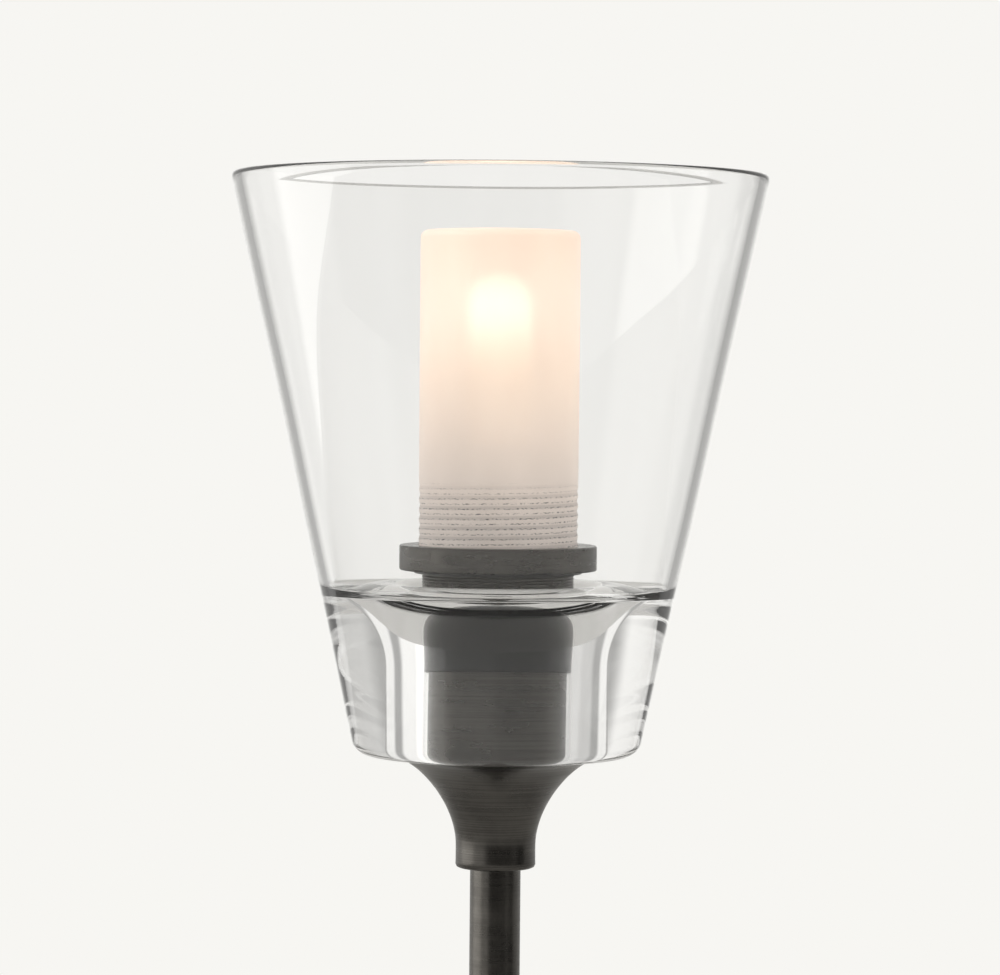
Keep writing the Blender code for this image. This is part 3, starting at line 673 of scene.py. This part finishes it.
def add_gland(brass):
    """The gland's body with a hexagon and a plain neck where its nut goes, and its knurled nut, both lying
    along Y.
    """
    low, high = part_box("gland_body")
    height = (low[2] + high[2]) / 2
    back = Matrix.Translation((0, 0, height)) @ Matrix.Rotation(-pi / 2, 4, "X")
    outer, core = 9.0, 8.5  # a point further out than core is shaped into flats or a knurl

    def hexagon(r, z, angle):
        if r < core:
            return r, z
        bevel = 1.0 if r > outer - 0.05 else 0.97
        return outer * cos(pi / 6) / cos((angle % (pi / 3)) - pi / 6) * bevel, z

    body = [(3.4, 21.5), (6.0, 21.5), (6.0, 25.5), (8.8, 25.5), (9.0, 26.0), (9.0, 30.6), (8.8, 31.0)]
    body += [(7.0, 31.0), (7.0, 38.0), (5.4, 38.0), (5.4, 30.0), (3.4, 30.0)]
    mesh = turned_mesh("gland_hexagon", body, MEDIUM, 0, hexagon)
    mesh.transform(back)
    piece("gland_hexagon", mesh, brass, "pole", ["gland_body"], sharp=30)

    def knurl(r, z, angle):
        depth, ridges = 0.3, 24
        return (r - depth * (0.5 + 0.5 * cos(ridges * angle)), z) if r > core else (r, z)

    nut = [(3.6, 41.5), (3.6, 38.7), (7.35, 38.7), (7.35, 31.6), (9.0, 31.6), (9.0, 32.2), (9.0, 39.0)]
    nut += [(8.6, 40.0), (7.0, 41.5)]
    mesh = turned_mesh("gland_cap", nut, 192, 0, knurl)
    mesh.transform(back)
    piece("gland_cap", mesh, brass, "gland_nut", ["gland_nut"], sharp=50)


# ---------------------------------------------------------------- studio

# left, right, bottom, top, softness of the edge (degrees; 0 is straight behind the torch), light.
# Most strengths started from a least-squares fit to the photo, rounded; the rest were given.
STUDIO_BOXES = [
    (-17, 17, -90, 60, 5, 0.92),
    (-37, -17, -90, 60, 5, 0.58),
    (17, 37, -90, 60, 5, 0.48),
    (-66, -37, -90, 60, 5, 0.98),
    (37, 62, -90, 60, 5, 0.62),
    (-112, -66, -60, 60, 4, 2.5),
    (62, 88, -60, 60, 4, 0.50),
    (-150, -112, -60, 60, 6, 1.0),
    (118, 130, -60, 60, 3, 0.25),
    (-180, 180, 60, 90, 8, 0.3),
]
STUDIO_FILL = 0.06

# What is seen through the glass, in the same form: paler all round, so that it looks clear from every side
THROUGH_BOXES = [
    (-17, 17, -90, 60, 5, 0.50),
    (-66, -37, -90, 60, 5, 0.56),
    (-112, -66, -90, 60, 4, 0.72),
    (-181, -112, -90, 60, 6, 0.20),
    (37, 62, -90, 60, 5, 0.20),
    (62, 112, -90, 60, 5, 0.30),
    (112, 181, -90, 60, 5, 0.08),
    (-181, 181, 60, 91, 8, 0.40),
]
THROUGH_FILL = 0.42


def add_world():
    """Three surroundings, by the kind of ray: a pale backdrop for the camera, THROUGH_BOXES for what is seen
    through the glass, and for everything else a studio with light behind and boxes at the sides."""
    world = bpy.data.worlds.new("studio")
    bpy.context.scene.world = world
    world.use_nodes = True
    nodes = Nodes(world.node_tree)
    direction = nodes.add("ShaderNodeTexCoord").outputs["Generated"]
    x, y, z = nodes.add("ShaderNodeSeparateXYZ", inputs={"Vector": direction}).outputs
    around = nodes.math("ARCTAN2", x, y)  # 0 behind the torch, positive to the right
    height = nodes.math("ARCSINE", z)

    def box(left, right, bottom, top, edge, light):
        """Light that falls off softly outside the given directions, in degrees."""
        parts = [
            nodes.step(around, radians(left - edge), radians(left + edge)),
            nodes.step(around, radians(right - edge), radians(right + edge), 1.0, 0.0),
            nodes.step(height, radians(bottom - edge), radians(bottom + edge)),
            nodes.step(height, radians(top - edge), radians(top + edge), 1.0, 0.0),
        ]
        product = parts[0]
        for part in parts[1:]:
            product = nodes.math("MULTIPLY", product, part)
        return nodes.math("MULTIPLY", product, light)

    studio, through = STUDIO_FILL, THROUGH_FILL
    for given in STUDIO_BOXES:
        studio = nodes.math("ADD", studio, box(*given))
    for given in THROUGH_BOXES:
        through = nodes.math("ADD", through, box(*given))
    path = nodes.add("ShaderNodeLightPath")
    glass = path.outputs["Is Transmission Ray"]
    light = nodes.math("ADD", nodes.math("MULTIPLY", studio, nodes.math("SUBTRACT", 1.0, glass)),
                       nodes.math("MULTIPLY", through, glass))
    lit = nodes.add("ShaderNodeBackground", inputs={"Color": (1, 0.992, 0.965, 1), "Strength": light})
    seen = nodes.add("ShaderNodeBackground", inputs={"Color": (*PALE, 1), "Strength": 1.0})
    camera = path.outputs["Is Camera Ray"]
    mix = nodes.add("ShaderNodeMixShader", inputs={0: camera, 1: lit.outputs[0], 2: seen.outputs[0]})
    output = nodes.add("ShaderNodeOutputWorld")
    nodes.put(output.inputs["Surface"], mix.outputs[0])


def add_camera():
    """Stands about two metres off at the height of the shade, tipped down a little and slightly rolled."""
    distance, height = 1.95, 193  # metres, and millimetres above the seat
    tip, turn, roll = 1.75, -0.02, 0.5  # degrees
    data = bpy.data.cameras.new("camera")
    data.sensor_width = 36.0
    data.lens = 140.4
    data.clip_end = 60
    camera = bpy.data.objects.new("camera", data)
    bpy.context.scene.collection.objects.link(camera)
    camera.location = (0, -distance, (SEAT + height) * MM)
    look = Euler((radians(90 - tip), 0, radians(turn))).to_matrix()
    camera.rotation_euler = (look @ Matrix.Rotation(radians(roll), 3, "Z")).to_euler()
    bpy.context.scene.camera = camera


def add_floor():
    """A pale disc just under the spike's tip, fading into the backdrop; only the camera sees its glow."""
    radius, gap = 5.0, 0.001  # metres
    mesh = bpy.data.meshes.new("floor")
    bm = bmesh.new()
    bmesh.ops.create_circle(bm, cap_ends=True, segments=MEDIUM, radius=radius)
    bm.to_mesh(mesh)
    bm.free()
    material, nodes, shader = new_material("floor")
    away = nodes.add("ShaderNodeVectorMath", operation="LENGTH", inputs={0: nodes.place()}).outputs["Value"]
    paper = nodes.noise(nodes.place(), 14.0, 3.0, 0.5)
    nodes.put(shader.inputs["Base Color"], nodes.colours(paper, (0.78, 0.77, 0.75), (0.82, 0.81, 0.79)))
    nodes.put(shader.inputs["Roughness"], 0.9)
    glow = nodes.add("ShaderNodeEmission", inputs={"Color": (*PALE, 1), "Strength": 1.0})
    seen = nodes.add("ShaderNodeLightPath").outputs["Is Camera Ray"]
    fade = nodes.math("MULTIPLY", seen, nodes.step(away, 0.5, 2.5, 0.5, 1.0))
    mix = nodes.add("ShaderNodeMixShader", inputs={0: fade, 1: shader.outputs[0], 2: glow.outputs[0]})
    output = next(n for n in nodes.tree.nodes if n.type == "OUTPUT_MATERIAL")
    nodes.put(output.inputs["Surface"], mix.outputs[0])
    mesh.materials.append(material)
    floor = bpy.data.objects.new("floor", mesh)
    bpy.context.scene.collection.objects.link(floor)
    floor.location.z = CAD_BOX[0][2] - gap


# ---------------------------------------------------------------- the whole


def finish_cad_nodes(finishes):
    """Gives every CAD node that still shows the material of its slot."""
    slot_of = {part["node"]: part["material_slot"] for part in frame["record"]["subparts"]}
    for name, node in frame["nodes"].items():
        for slot in node.material_slots:
            slot.material = finishes[slot_of[name]]


def build():
    bpy.context.scene.view_settings.view_transform = "Standard"
    add_camera()
    add_world()
    add_floor()
    metal = blackened_metal("blackened_metal", 0.6)
    pole_metal = blackened_metal("blackened_tube", 0.3)
    finishes = {
        "clear_glass": clear_glass(),
        "frosted_glass": frosted_glass(),
        "bronze": metal,
        "steel": worn("steel", (0.36, 0.36, 0.36), (0.56, 0.56, 0.55), 1.0, 0.28, 0.46, 60, 0.15),
        "brass": worn("brass", (0.52, 0.37, 0.17), (0.76, 0.58, 0.30), 1.0, 0.22, 0.38, 70, 0.10),
        "porcelain": worn("porcelain", (0.80, 0.79, 0.75), (0.88, 0.87, 0.84), 0.0, 0.12, 0.22, 40, 0.03),
        "rubber": worn("rubber", (0.006, 0.006, 0.006), (0.014, 0.014, 0.014), 0.0, 0.30, 0.50, 120, 0.15),
        "filament": filament(),
        "lead_sheath": worn("lead_sheath", (0.035, 0.035, 0.036), (0.06, 0.06, 0.06), 0.0, 0.45, 0.65, 90,
                            0.12),
    }
    add_shade(finishes["clear_glass"])
    add_diffuser(finishes["frosted_glass"])
    add_ring(metal)
    add_sleeve(metal)
    add_tube(metal)
    add_gasket(finishes["rubber"])
    add_envelope(lamp_glow())
    add_lamp_cap(finishes["brass"])
    add_lampholder(finishes["porcelain"])
    add_holder(metal)
    add_pole(pole_metal)
    add_ground_plate(pole_metal)
    add_gland(finishes["brass"])
    finish_cad_nodes(finishes)


build()
